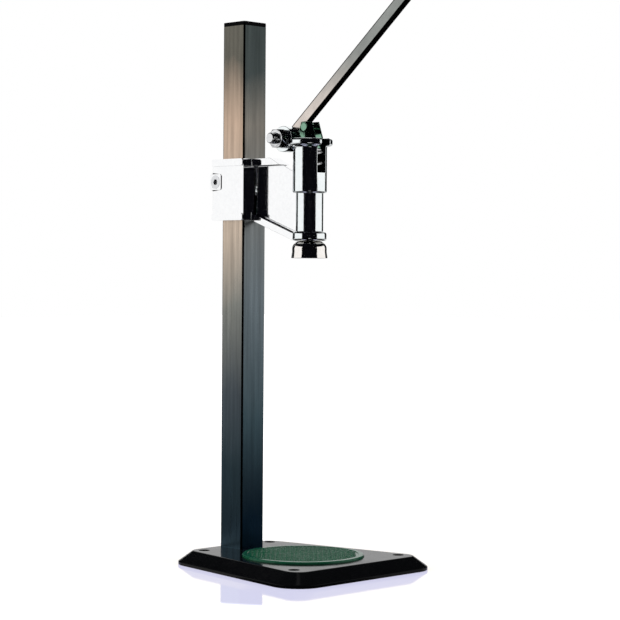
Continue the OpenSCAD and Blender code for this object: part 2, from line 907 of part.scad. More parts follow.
// Return spring: a wire of eight sides along a helix whose end turns lie flat
spring_flat = 0.75;
spring_sides = 8;
spring_steps = 20;
spring_n = ceil(spring_turns * spring_steps);
function spring_rise(turn) = min(max((turn - spring_flat) / (spring_turns - 2 * spring_flat), 0), 1);
function spring_point(i, k) =
    let (
        turn = spring_turns * i / spring_n,
        angle = spring_start + 360 * turn,
        across = spring_d / 2 + spring_wire / 2 * cos(360 * k / spring_sides),
        up = spring_wire / 2 * sin(360 * k / spring_sides),
        z = spring_seat + spring_wire / 2 + (spring_len - spring_wire) * spring_rise(turn)
    )
    [across * cos(angle), across * sin(angle), z + up];

module return_spring() {
    color("#d0d3d5")
        polyhedron(
            points = [for (i = [0:spring_n], k = [0:spring_sides - 1]) spring_point(i, k)],
            faces = concat(
                [[for (k = [0:spring_sides - 1]) k]],
                [for (i = [0:spring_n - 1], k = [0:spring_sides - 1])
                    let (a = i * spring_sides, b = a + spring_sides, next = (k + 1) % spring_sides)
                    [a + k, b + k, b + next, a + next]],
                [[for (k = [spring_sides - 1:-1:0]) spring_n * spring_sides + k]]
            )
        );
}

// Turns the lever's own frame, with the bar along -Y, to its place at rest
module at_lever() {
    translate([0, fulcrum_y, fulcrum_z])
        rotate([-lever_rest, 0, 0])
            children();
}

// The lever bar itself, made wider all round by a gap
module bar_stock(gap) {
    translate([-lever_w / 2 - gap, -lever_len, lever_off - lever_d / 2 - gap])
        cube([lever_w + 2 * gap, lever_len, lever_d + 2 * gap]);
}

module lever_bar() {
    color("#2a2826")
        at_lever()
            difference() {
                union() {
                    bar_stock(0);
                    cross_rod(eye_d, lever_w);
                }
                cross_rod(lever_bush_d, 2 * lever_w);
            }
}

module lever_bush() {
    len = lever_w + 2 * lever_bush_out;
    color("#a9884a")
        at_lever()
            translate([-len / 2, 0, 0])
                cross_washer(lever_bush_d, fulcrum_d + 2 * run_gap, len);
}

module lever_grip() {
    swell = grip_end_d / 2;
    color("#141414")
        at_lever()
            difference() {
                translate([0, -lever_len - grip_cover, lever_off])
                    rotate([-90, 0, 0])
                        rotate_extrude()
                            grip_outline(swell);
                bar_stock(grip_gap);
            }
}

// Half section of the grip, from its far end at height 0
module grip_outline(swell) {
    edge = swell / 2;
    difference() {
        polygon([
            [0, 0], [swell, 0], [grip_d / 2, grip_len / 2], [swell, grip_len], [0, grip_len]
        ]);
        translate([swell - edge, edge])
            mirror([0, 1])
                corner_trim(edge);
    }
}

base_shell();
bottle_mat();
column_tube();
column_cap();
column_foot();
foot_bolt();
foot_washer();
head_carrier();
clamp_bolt();
clamp_nut();
clamp_washers();
clamp_sleeve();
barrel();
guide_bush();
fulcrum_bolt();
fulcrum_nut();
fulcrum_washers();
press_head();
head_pin();
plunger_rod();
bell();
bell_screw();
cap_magnet();
return_spring();
lever_bar();
lever_bush();
lever_grip();
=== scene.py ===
# %% [markdown]
# Bench crown capper, dressed in Blender.
# The capper is a press for crown caps: a black moulded base, a square steel column, a bright cast
# carrier on that column, a chromed barrel with a green press head, and a lever. Its exact solids
# arrive as a fixed frame, so nothing here is moved or resized: this lesson only adds edges, wire,
# threads, texture and finishes, and lights the result.

# %% Load the frame
import json
import math

import bmesh
import bpy
from mathutils import Matrix, Vector


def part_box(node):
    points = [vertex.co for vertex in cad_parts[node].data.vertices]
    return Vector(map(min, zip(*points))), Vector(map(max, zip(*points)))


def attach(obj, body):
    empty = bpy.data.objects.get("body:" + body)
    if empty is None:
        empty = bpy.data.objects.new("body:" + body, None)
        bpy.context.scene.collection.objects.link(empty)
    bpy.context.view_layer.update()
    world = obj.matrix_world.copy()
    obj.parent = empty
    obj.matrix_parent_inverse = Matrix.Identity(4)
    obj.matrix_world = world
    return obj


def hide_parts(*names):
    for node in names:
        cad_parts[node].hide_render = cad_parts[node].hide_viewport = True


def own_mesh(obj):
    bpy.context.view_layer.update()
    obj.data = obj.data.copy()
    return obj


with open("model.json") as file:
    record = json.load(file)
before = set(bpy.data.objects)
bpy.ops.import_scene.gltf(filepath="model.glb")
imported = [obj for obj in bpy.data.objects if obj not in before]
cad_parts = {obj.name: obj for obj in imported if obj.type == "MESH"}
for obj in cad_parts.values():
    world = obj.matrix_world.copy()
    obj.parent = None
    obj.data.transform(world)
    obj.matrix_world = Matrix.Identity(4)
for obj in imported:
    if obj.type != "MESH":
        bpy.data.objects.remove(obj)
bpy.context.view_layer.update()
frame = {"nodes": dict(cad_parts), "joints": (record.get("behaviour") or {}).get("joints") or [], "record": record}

MM = 0.001
nodes = frame["nodes"]
body_of_node = {
    node: body
    for body, members in frame["record"]["behaviour"]["bodies"].items()
    for node in members
}
joint = {j["name"]: j for j in frame["joints"]}
scene = bpy.context.scene

# %% [markdown]
# The camera stands to the left of the operator, level and far away, with a long lens. A level
# camera keeps the column upright, and the small downward shift puts the horizon above the
# picture's middle, as a view camera would.

# %% Camera
CAMERA_AT = Vector((-1.3408, -1.3209, 0.2816))
LOOK_ALONG = Vector((0.7126, 0.7015, 0.0)).normalized()
CAMERA_LENS = 115.92
CAMERA_SENSOR = 36.0
CAMERA_SHIFT_Y = -0.0623
CAMERA_ROLL = math.radians(0.36)

camera = bpy.data.objects.new("studio_camera", bpy.data.cameras.new("studio_camera"))
scene.collection.objects.link(camera)
camera.data.lens = CAMERA_LENS
camera.data.sensor_width = CAMERA_SENSOR
camera.data.shift_y = CAMERA_SHIFT_Y
camera.data.clip_end = 50.0
camera.matrix_world = (
    Matrix.Translation(CAMERA_AT)
    @ LOOK_ALONG.to_track_quat("-Z", "Y").to_matrix().to_4x4()
    @ Matrix.Rotation(CAMERA_ROLL, 4, "Z")
)
scene.camera = camera
scene.view_settings.view_transform = "Standard"
print("camera at", [round(x, 3) for x in CAMERA_AT])

# %% [markdown]
# Every material and every node tree below is a small graph. Short helpers make the nodes and wire
# them, so that each graph reads as a list of what it holds.

# %% Helpers for graphs
def add(tree, kind, values=None, **settings):
    """A node of a kind, with its settings, and constant values or links on its inputs."""
    node = tree.nodes.new(kind)
    for name, value in settings.items():
        setattr(node, name, value)
    for name, value in (values or {}).items():
        if isinstance(value, bpy.types.NodeSocket):
            tree.links.new(value, node.inputs[name])
        else:
            node.inputs[name].default_value = value
    return node


def math_node(tree, operation, a, b=0.0, clamp=False):
    """The result of one sum."""
    node = add(tree, "ShaderNodeMath", {0: a, 1: b}, operation=operation, use_clamp=clamp)
    return node.outputs[0]


def dot(tree, a, b):
    """How far one vector reaches along another."""
    node = add(tree, "ShaderNodeVectorMath", {0: a, 1: b}, operation="DOT_PRODUCT")
    return node.outputs["Value"]


def distance(tree, place):
    """How far a point lies from the origin."""
    return add(tree, "ShaderNodeVectorMath", {0: place}, operation="LENGTH").outputs["Value"]


def combine(tree, x=0.0, y=0.0, z=0.0):
    """A vector from three values."""
    return add(tree, "ShaderNodeCombineXYZ", {"X": x, "Y": y, "Z": z}).outputs[0]


def sockets(tree, direction, *wanted):
    """Named sockets on a node group, each as (name, kind, default or None)."""
    for name, kind, default in wanted:
        socket = tree.interface.new_socket(name, in_out=direction, socket_type=kind)
        if default is not None:
            socket.default_value = default


def blend_colours(tree, share, first, second):
    """The first colour at nought and the second at one."""
    return add(tree, "ShaderNodeMix", {0: share, 6: first, 7: second}, data_type="RGBA").outputs[2]


def spread(tree, value, low, high):
    """A value from nought to one, laid out between two others."""
    node = add(tree, "ShaderNodeMapRange", {"Value": value, "To Min": low, "To Max": high})
    return node.outputs[0]


def levels(tree, value, start, end):
    """A straight run from nought at start to one at end."""
    node = add(tree, "ShaderNodeMapRange", {"Value": value, "From Min": start, "From Max": end})
    return node.outputs[0]


def fade(tree, value, start, end):
    """A soft step from nought at start to one at end."""
    node = add(tree, "ShaderNodeMapRange", {"Value": value, "From Min": start, "From Max": end},
               interpolation_type="SMOOTHSTEP")
    return node.outputs[0]


def ramp(tree, value, *stops):
    """A run of colours along a value, each stop as (place, colour)."""
    node = add(tree, "ShaderNodeValToRGB", {0: value})
    colours = node.color_ramp.elements
    while len(colours) < len(stops):
        colours.new(1.0)
    for element, (place, colour) in zip(colours, stops):
        element.position = place
        element.color = (*colour, 1)
    return node.outputs[0]


print("helpers ready")

# %% [markdown]
# The studio is a floor, a white room and a few cards. Each is a plain mesh or a small graph.

# %% Helpers for the studio
WHITE = (1.0, 1.0, 1.0, 1.0)
BLACK = (0.0, 0.0, 0.0, 1.0)


def plain_mesh(name, corners, faces):
    """An object from its corners and faces."""
    mesh = bpy.data.meshes.new(name)
    mesh.from_pydata(corners, [], faces)
    obj = bpy.data.objects.new(name, mesh)
    scene.collection.objects.link(obj)
    return obj


def new_material(name):
    """An empty material: its graph and its output."""
    material = bpy.data.materials.new(name)
    material.use_nodes = True
    material.node_tree.nodes.clear()
    return material, material.node_tree, add(material.node_tree, "ShaderNodeOutputMaterial")


def seen_directly(tree):
    """One where the camera, a reflection or glass looks, and nought for soft light."""
    path = add(tree, "ShaderNodeLightPath")
    mirror, glass = path.outputs["Is Glossy Ray"], path.outputs["Is Transmission Ray"]
    reflected = math_node(tree, "MAXIMUM", mirror, glass)
    return math_node(tree, "MAXIMUM", path.outputs["Is Camera Ray"], reflected)


print("studio helpers ready")

# %% [markdown]
# The floor is plain and pale, and white where it is looked at. Round the base it is a glossy
# sheet that mirrors the base and keeps a soft shadow. Its colour and glow there are a lavender
# tint, a painted reflection tone: they add up to white only where the mirror sees white, so the
# mirrored base shows lavender.
# Chrome only looks like chrome when it has something dark to show. So in reflections the floor is
# dark round the base and on the camera's side, apart from a narrow window there, and half dark
# farther out.

# %% Floor
FLOOR_SIZE = 16.0
FLOOR_COLOUR = (0.80, 0.80, 0.80, 1.0)
# The sheet's colour and glow below are a painted reflection tone, lavender where its mirror sees dark.
SHEET_PAINTED_REFLECTION_TINT = (0.24, 0.25, 0.34, 1.0)
SHEET_PAINTED_REFLECTION_GLOW = (0.425, 0.412, 0.515, 1.0)
SHEET_MIRROR = (0.42, 0.39, 0.18, 1.0)
SHEET_ROUGHNESS = 0.06
SHEET_FADE = (0.195, 0.225)
FRONT_TURN = 52
WINDOW_TURN = 8
DARK_FROM = (0.17, 0.21)
DARK_FRONT_FROM = (0.07, 0.10)
DARK_TO = (0.85, 0.75)
FAR_DARK = 0.6

half = FLOOR_SIZE / 2
floor = plain_mesh(
    "studio_floor",
    [(-half, -half, 0), (half, -half, 0), (half, half, 0), (-half, half, 0)],
    [(0, 1, 2, 3)],
)
material, tree, output = new_material("studio_floor")
place = add(tree, "ShaderNodeTexCoord").outputs["Object"]
from_middle = distance(tree, place)
beyond = fade(tree, from_middle, *SHEET_FADE)
# Round the base this colour and glow are the painted lavender reflection tone.
plain = add(tree, "ShaderNodeBsdfPrincipled", {
    "Base Color": blend_colours(tree, beyond, SHEET_PAINTED_REFLECTION_TINT, FLOOR_COLOUR),
    "Specular IOR Level": 0.0,
    "Emission Color": blend_colours(tree, beyond, SHEET_PAINTED_REFLECTION_GLOW, WHITE),
    "Emission Strength": seen_directly(tree),
})
mirror = add(tree, "ShaderNodeBsdfGlossy", {
    "Color": blend_colours(tree, beyond, SHEET_MIRROR, BLACK), "Roughness": SHEET_ROUGHNESS})
sheet = add(tree, "ShaderNodeAddShader", {0: plain.outputs[0], 1: mirror.outputs[0]})

outwards = add(tree, "ShaderNodeVectorMath", {0: place}, operation="NORMALIZE").outputs[0]
ahead = dot(tree, outwards, -LOOK_ALONG)
in_front = math_node(tree, "GREATER_THAN", ahead, math.cos(math.radians(FRONT_TURN)))
beside_window = math_node(tree, "LESS_THAN", ahead, math.cos(math.radians(WINDOW_TURN)))
depth = spread(tree, fade(tree, from_middle, *DARK_TO), FAR_DARK, 1.0)
closed = math_node(tree, "MAXIMUM", depth, beside_window)
front_depth = math_node(tree, "MULTIPLY", in_front, closed)
front_ground = math_node(tree, "MULTIPLY", front_depth, fade(tree, from_middle, *DARK_FRONT_FROM))
ring_ground = math_node(tree, "MULTIPLY", depth, fade(tree, from_middle, *DARK_FROM))
dark_ground = math_node(tree, "MAXIMUM", front_ground, ring_ground)
reflected = add(tree, "ShaderNodeLightPath").outputs["Is Glossy Ray"]
dark = add(tree, "ShaderNodeBsdfDiffuse", {"Color": BLACK})
darkened = math_node(tree, "MULTIPLY", reflected, dark_ground)
shown = add(tree, "ShaderNodeMixShader", {0: darkened, 1: sheet.outputs[0], 2: dark.outputs[0]})
tree.links.new(shown.outputs[0], output.inputs[0])
floor.data.materials.append(material)
print("floor", FLOOR_SIZE, "m wide")

# %% [markdown]
# The room is white where it is seen, directly or in a reflection. The light that it sheds is
# softer.

# %% World
AMBIENT = 0.42

scene.world = bpy.data.worlds.new("studio")
scene.world.use_nodes = True
tree = scene.world.node_tree
tree.nodes.clear()
soft = add(tree, "ShaderNodeBackground", {"Color": WHITE, "Strength": AMBIENT})
backdrop = add(tree, "ShaderNodeBackground", {"Color": WHITE, "Strength": 1.0})
mixed = add(tree, "ShaderNodeMixShader", {
    0: seen_directly(tree), 1: soft.outputs[0], 2: backdrop.outputs[0]})
add(tree, "ShaderNodeOutputWorld", {"Surface": mixed.outputs[0]})
print("ambient light", AMBIENT)

# %% [markdown]
# A photographer hangs black cards round a set with chrome in it: here a wide one on the camera's
# side, two narrow ones behind and one overhead, open at the back. They show only in reflections,
# so they darken no other surface.

# %% Cards for the reflections
CARD_RADIUS = 2.6
CARD_TOP = 1.50
CARD_STEPS = 48
CARD_COLOUR = (0.004, 0.004, 0.006, 1.0)
OVERHEAD_TURN = 150
OVERHEAD_HOLE = 0.01
LOW_ARC, HIGH_ARC = (CARD_RADIUS, 0.0), (CARD_RADIUS, CARD_TOP)
INNER_ARC = (OVERHEAD_HOLE, CARD_TOP)
CARDS = {
    "front": ((-FRONT_TURN, FRONT_TURN), LOW_ARC, HIGH_ARC),
    "back_left": ((-160, -124), LOW_ARC, HIGH_ARC),
    "back_right": ((116, 160), LOW_ARC, HIGH_ARC),
    "overhead": ((-OVERHEAD_TURN, OVERHEAD_TURN), INNER_ARC, HIGH_ARC),
}
to_camera = math.atan2(-LOOK_ALONG.y, -LOOK_ALONG.x)


def card(name, span, *arcs):
    """A card between two arcs, each as (radius, height). Its span counts from the camera's side."""
    corners = []
    for i in range(CARD_STEPS + 1):
        turn = to_camera - math.radians(span[0] + (span[1] - span[0]) * i / CARD_STEPS)
        corners += [(radius * math.cos(turn), radius * math.sin(turn), z) for radius, z in arcs]
    faces = [(2 * i, 2 * i + 2, 2 * i + 3, 2 * i + 1) for i in range(CARD_STEPS)]
    made = plain_mesh(f"card_{name}", corners, faces)
    made.visible_camera = False
    made.visible_diffuse = False
    made.visible_transmission = False
    made.visible_shadow = False
    made.data.materials.append(card_black)


card_black, tree, output = new_material("card_black")
black = add(tree, "ShaderNodeBsdfDiffuse", {"Color": CARD_COLOUR})
tree.links.new(black.outputs[0], output.inputs[0])
for name, (span, first, second) in CARDS.items():
    card(name, span, first, second)
print("cards:", len(CARDS))

# %% [markdown]
# Three soft lamps light what isn't a mirror. They don't show in reflections: there the white room
# between the cards does their work.

# %% Lamps
AIM = Vector((0.0, 0.03, 0.3))
LAMPS = {
    "key_left": (Vector((-1.15, 1.0, 0.85)), 1.1, 15.0),
    "fill_right": (Vector((1.2, -0.95, 0.9)), 1.0, 7.0),
    "top": (Vector((-0.1, -0.2, 1.9)), 1.4, 13.0),
}
for name, (place, size, power) in LAMPS.items():
    lamp = bpy.data.objects.new(name, bpy.data.lights.new(name, "AREA"))
    lamp.data.size = size
    lamp.data.energy = power
    lamp.location = place
    lamp.rotation_euler = (AIM - place).to_track_quat("-Z", "Y").to_euler()
    lamp.visible_glossy = False
    scene.collection.objects.link(lamp)
print("lamps:", sorted(LAMPS))

# %% [markdown]
# Grain is in every finish and edge wear where corners are rubbed, so each is a node group with its
# own inputs.
# Grain is a cloud of noise that can be stretched into the streaks of drawn steel. Edge wear finds
# the corners of a piece by comparing its own direction with a rounded one, and breaks the result
# up with noise, because real corners are rubbed in patches.

# %% Shared effects
def effect(name, inputs, outputs):
    """An empty node group with named inputs and outputs."""
    tree = bpy.data.node_groups.new(name, "ShaderNodeTree")
    sockets(tree, "INPUT", *inputs)
    sockets(tree, "OUTPUT", *outputs)
    return tree, add(tree, "NodeGroupInput").outputs, add(tree, "NodeGroupOutput").inputs


VALUE, VECTOR = "NodeSocketFloat", "NodeSocketVector"
EDGE_FROM, EDGE_TO = 0.995, 0.86
CHIPS_FROM, CHIPS_TO = 0.35, 0.6

grain_effect, given, out = effect(
    "grain",
    [("Scale", VALUE, 400.0), ("Stretch", VECTOR, (1, 1, 1)),
     ("Low", VALUE, 0.35), ("High", VALUE, 0.65)],
    [("Grain", VALUE, None)],
)
tree = grain_effect
place = add(tree, "ShaderNodeTexCoord")
stretched = add(tree, "ShaderNodeVectorMath", {0: place.outputs["Object"], 1: given["Stretch"]},
                operation="MULTIPLY")
noise = add(tree, "ShaderNodeTexNoise", {
    "Vector": stretched.outputs[0], "Scale": given["Scale"], "Detail": 5.0, "Roughness": 0.6})
tree.links.new(levels(tree, noise.outputs[0], given["Low"], given["High"]), out["Grain"])

wear_effect, given, out = effect(
    "edge_wear",
    [("Width", VALUE, 0.0006), ("Break up", VALUE, 900.0), ("Amount", VALUE, 0.5)],
    [("Wear", VALUE, None)],
)
tree = wear_effect
rounded = add(tree, "ShaderNodeBevel", {"Radius": given["Width"]}, samples=6)
true_face = add(tree, "ShaderNodeNewGeometry")
agree = dot(tree, rounded.outputs[0], true_face.outputs["Normal"])
edge = levels(tree, agree, EDGE_FROM, EDGE_TO)
place = add(tree, "ShaderNodeTexCoord")
chips = add(tree, "ShaderNodeTexNoise", {
    "Vector": place.outputs["Object"], "Scale": given["Break up"], "Detail": 3.0})
patchy = levels(tree, chips.outputs[0], CHIPS_FROM, CHIPS_TO)
both = math_node(tree, "MULTIPLY", edge, patchy)
tree.links.new(math_node(tree, "MULTIPLY", both, given["Amount"], clamp=True), out["Wear"])
print("effects:", grain_effect.name, wear_effect.name)

# %% [markdown]
# Most finishes share one build: a colour that wanders between two close tones with the grain, a
# roughness that wanders with rub marks, and a fine bump. Metal or not is a plain setting of the
# shader.

# %% A finish in one call
RUB_SCALE = 45.0
BUMP_DEPTH = 0.0002


def grain(tree, scale, stretch=(1, 1, 1), low=0.35, high=0.65):
    """The grain effect in a material."""
    values = {"Scale": scale, "Stretch": stretch, "Low": low, "High": high}
    return add(tree, "ShaderNodeGroup", values, node_tree=grain_effect).outputs["Grain"]


def edge_wear(tree, width, break_up, amount):
    """The edge wear effect in a material."""
    values = {"Width": width, "Break up": break_up, "Amount": amount}
    return add(tree, "ShaderNodeGroup", values, node_tree=wear_effect).outputs["Wear"]


def close_finish(tree, output, colour, roughness, height, bump, constants):
    """The shader itself, with its constant settings, and the bump that feeds its normal."""
    relief = add(tree, "ShaderNodeBump",
                 {"Strength": bump, "Distance": BUMP_DEPTH, "Height": height})
    values = {"Base Color": colour, "Roughness": roughness, "Normal": relief.outputs[0]}
    shader = add(tree, "ShaderNodeBsdfPrincipled", {**values, **constants})
    tree.links.new(shader.outputs[0], output.inputs[0])


def surface(name, colour, shade, rough, scale,
            stretch=(1, 1, 1), bump=0.05, worn_and_highlit=None, **constants):
    """A finish that follows the grain. worn_and_highlit is (colour, width, break up, amount) of the edges: wear,
    which on the base is also a painted highlight.
    """
    material, tree, output = new_material(name)
    cloud = grain(tree, scale, stretch)
    tone = blend_colours(tree, cloud, (*colour, 1), (*shade, 1))
    if worn_and_highlit:
        tone = blend_colours(tree, edge_wear(tree, *worn_and_highlit[1:]), tone, (*worn_and_highlit[0], 1))
    roughness = spread(tree, grain(tree, RUB_SCALE), *rough)
    settings = {key.replace("_", " "): value for key, value in constants.items()}
    close_finish(tree, output, tone, roughness, cloud, bump, settings)
    return material


finishes = {
    # The base's pale edges are partly wear and partly a painted highlight along them.
    "base_plastic": surface("base_plastic", (0.0020, 0.0022, 0.0026), (0.0034, 0.0036, 0.0042),
                            (0.10, 0.18), 700, bump=0.008, Specular_IOR_Level=0.05,
                            worn_and_highlit=((0.16, 0.165, 0.18), 0.0007, 500, 0.6)),
    "cap_plastic": surface("cap_plastic", (0.0012, 0.0012, 0.0015), (0.0024, 0.0024, 0.0028),
                           (0.35, 0.5), 1500, bump=0.12, Specular_IOR_Level=0.02),
    "zinc_steel": surface("zinc_steel", (0.80, 0.81, 0.82), (0.70, 0.71, 0.73), (0.10, 0.24), 900,
                          bump=0.03, Metallic=1.0),
    "carrier_alloy": surface("carrier_alloy", (0.97, 0.975, 0.98), (0.93, 0.935, 0.945),
                             (0.05, 0.10), 300, bump=0.02, Metallic=1.0),
    "bush_bronze": surface("bush_bronze", (0.62, 0.44, 0.20), (0.50, 0.34, 0.14), (0.22, 0.36), 800,
                           stretch=(1, 1, 8), bump=0.05, Metallic=1.0),
    "head_green": surface("head_green", (0.18, 0.34, 0.24), (0.24, 0.42, 0.31), (0.12, 0.20), 500,
                          bump=0.03, Metallic=1.0),
    "rod_steel": surface("rod_steel", (0.66, 0.67, 0.68), (0.58, 0.59, 0.60), (0.14, 0.24), 700,
                         stretch=(1, 1, 6), bump=0.03, Metallic=1.0),
    "bell_steel": surface("bell_steel", (0.95, 0.92, 0.89), (0.89, 0.85, 0.81), (0.06, 0.14), 400,
                          bump=0.02, Metallic=1.0),
    "magnet_steel": surface("magnet_steel", (0.34, 0.34, 0.36), (0.26, 0.26, 0.28),
                            (0.25, 0.4), 900, bump=0.04, Metallic=1.0),
    "spring_steel": surface("spring_steel", (0.95, 0.95, 0.95), (0.88, 0.89, 0.90),
                            (0.30, 0.42), 900, bump=0.03, Metallic=0.35),
    "grip_rubber": surface("grip_rubber", (0.010, 0.010, 0.010), (0.020, 0.020, 0.020),
                           (0.45, 0.62), 1600, bump=0.25),
    "mat_green": surface("mat_green", (0.005, 0.062, 0.030), (0.009, 0.095, 0.046),
                         (0.20, 0.32), 600, bump=0.06, Specular_IOR_Level=0.3),
}
print("finishes:", len(finishes))

# %% [markdown]
# The column is bare square tube with long streaks of drawing, and its colour carries painted light.
# Its two sides have a warm painted highlight round the carrier's height, the front and back a
# dimmer slate painted shade, both ends are painted darker, and the round corners are painted black
# as a dark reflection. The finish reads the height and the side from the piece itself, so it stays
# put from any view.

# %% Column
COLUMN_SPAN = (0.013, 0.519)
STREAKS = {"scale": 260, "stretch": (1, 1, 0.035), "low": 0.3, "high": 0.7}
STREAK_SHADE = 0.3
STREAK_BUMP = 0.05
BLOTCHES = {"scale": 30, "stretch": (1, 1, 0.35), "low": 0.3, "high": 0.7}
BLOTCH_REACH = 0.02
COLUMN_ROUGHNESS = (0.26, 0.36)
PAINTED_CORNER_FADE = (0.985, 0.955)
# Painted light up the height: the SIDE tones are the painted lit sides and the FACE tones the painted shaded front
# and back, both painted darker at the ends and bright round the carrier's height.
SIDE_FOOT, SIDE_LOW, SIDE_DIM, SIDE_SLATE, SIDE_PAINTED_HIGHLIGHT, SIDE_PAINTED_SHEEN, SIDE_TOP = (
    (0.055, 0.099, 0.131), (0.038, 0.067, 0.084), (0.086, 0.106, 0.123), (0.292, 0.299, 0.273),
    (0.72, 0.59, 0.473), (0.70, 0.515, 0.386), (0.165, 0.157, 0.13))
FACE_FOOT, FACE_LOW, FACE_SLATE, FACE_PAINTED_HIGHLIGHT, FACE_TOP = (
    (0.005, 0.020, 0.040), (0.065, 0.110, 0.133), (0.183, 0.223, 0.246), (0.254, 0.235, 0.204),
    (0.067, 0.083, 0.082))
# Painted black, standing in for shade and dark reflections.
PAINTED_SHADE_BLACK = (0.004, 0.004, 0.004, 1)
SIDE_PAINTED_LIGHT_TONES = ((0.03, SIDE_FOOT), (0.15, SIDE_LOW), (0.30, SIDE_DIM), (0.465, SIDE_SLATE),
              (0.60, SIDE_PAINTED_HIGHLIGHT), (0.80, SIDE_PAINTED_SHEEN), (0.93, SIDE_TOP))
FACE_PAINTED_SHADE_TONES = ((0.05, FACE_FOOT), (0.25, FACE_LOW), (0.48, FACE_SLATE), (0.80, FACE_PAINTED_HIGHLIGHT),
              (0.90, FACE_TOP))


def object_parts(tree, output):
    """X, Y and Z of a point or of a direction on the piece."""
    place = add(tree, "ShaderNodeTexCoord")
    return add(tree, "ShaderNodeSeparateXYZ", {0: place.outputs[output]}).outputs


def column_steel():
    """Drawn steel, with painted light and shade by height and side, and painted black corners."""
    material, tree, output = new_material("column_steel")
    height = levels(tree, object_parts(tree, "Object")["Z"], *COLUMN_SPAN)
    streaks = grain(tree, **STREAKS)
    blotches = grain(tree, **BLOTCHES)
    wandering = math_node(tree, "ADD", height, spread(tree, blotches, -BLOTCH_REACH, BLOTCH_REACH))
    side = ramp(tree, wandering, *SIDE_PAINTED_LIGHT_TONES)
    face_painted_shade = ramp(tree, wandering, *FACE_PAINTED_SHADE_TONES)
    facing = object_parts(tree, "Normal")
    sideways = math_node(tree, "ABSOLUTE", facing["X"])
    forwards = math_node(tree, "ABSOLUTE", facing["Y"])
    # The sides are painted lit, the front and back painted in shade.
    tone = blend_colours(tree, math_node(tree, "GREATER_THAN", sideways, forwards), face_painted_shade, side)
    shaded = blend_colours(tree, spread(tree, streaks, 0.0, STREAK_SHADE), tone, BLACK)
    # The round corners are painted black, a painted dark reflection.
    painted_dark_corner = fade(tree, math_node(tree, "MAXIMUM", sideways, forwards), *PAINTED_CORNER_FADE)
    colour = blend_colours(tree, painted_dark_corner, shaded, PAINTED_SHADE_BLACK)
    roughness = spread(tree, streaks, *COLUMN_ROUGHNESS)
    close_finish(tree, output, colour, roughness, streaks, STREAK_BUMP, {"Metallic": 1.0})
    return material


finishes["column_steel"] = column_steel()
print("column finish ready")

# %% [markdown]
# The lever's wide sides are rubbed bright next to the head. Its narrow edges are painted black,
# a painted shade, with a painted dark line along the top.

# %% Lever
LEVER_UP = (0.0, 0.643, 0.766)
LEVER_RUBBED, LEVER_DULL = (0.76, 0.68, 0.625, 1), (0.31, 0.325, 0.31, 1)
LEVER_FADE = (0.425, 0.490)
LEVER_PAINTED_TOP_LINE = (0.3329, 0.3334)
LEVER_NARROW = (0.2, 0.5)
LEVER_STREAKS = {"scale": 420, "stretch": (1, 0.2, 0.2), "low": 0.3, "high": 0.7}
LEVER_SHADE = 0.14
LEVER_BUMP = 0.04
LEVER_ROUGHNESS = (0.16, 0.26)


def lever_steel():
    """Bright steel on the wide sides, the narrow ones painted black as shade."""
    material, tree, output = new_material("lever_steel")
    streaks = grain(tree, **LEVER_STREAKS)
    outwards = fade(tree, object_parts(tree, "Object")["Z"], *LEVER_FADE)
    rubbed = blend_colours(tree, outwards, LEVER_RUBBED, LEVER_DULL)
    shaded = blend_colours(tree, spread(tree, streaks, 0.0, LEVER_SHADE), rubbed, BLACK)
    place = add(tree, "ShaderNodeTexCoord").outputs
    upwards = dot(tree, place["Normal"], LEVER_UP)
    narrow = fade(tree, math_node(tree, "ABSOLUTE", upwards), *LEVER_NARROW)
    height = dot(tree, place["Object"], LEVER_UP)
    # This mask is painted shade: black on the narrow faces and on a thin line along the top.
    scale = math_node(tree, "MAXIMUM", narrow, fade(tree, height, *LEVER_PAINTED_TOP_LINE))
    tone = blend_colours(tree, scale, shaded, PAINTED_SHADE_BLACK)
    roughness = spread(tree, streaks, *LEVER_ROUGHNESS)
    close_finish(tree, output, tone, roughness, streaks, LEVER_BUMP, {"Metallic": 1.0})
    return material


finishes["lever_steel"] = lever_steel()
print("lever finish ready")

# %% [markdown]
# The barrel is chromed outside and left rough in the bore and on the cut faces of its front slot,
# which are also painted near black as shade. The distance from the bell's axis and the place of
# the slot tell them apart.

# %% Barrel
BORE_RADIUS = 12.6 * MM
SLOT_HALF, SLOT_FLOOR = 5.4 * MM, 374.4 * MM
BORE_PAINTED_SHADE = (0.020, 0.020, 0.022, 1)
BORE_ROUGHNESS = 0.5
CHROME, CHROME_SHADE = (0.91, 0.95, 0.955, 1), (0.87, 0.92, 0.925, 1)
CHROME_GRAIN = 260
CHROME_BUMP = 0.01
CHROME_ROUGHNESS = (0.08, 0.14)


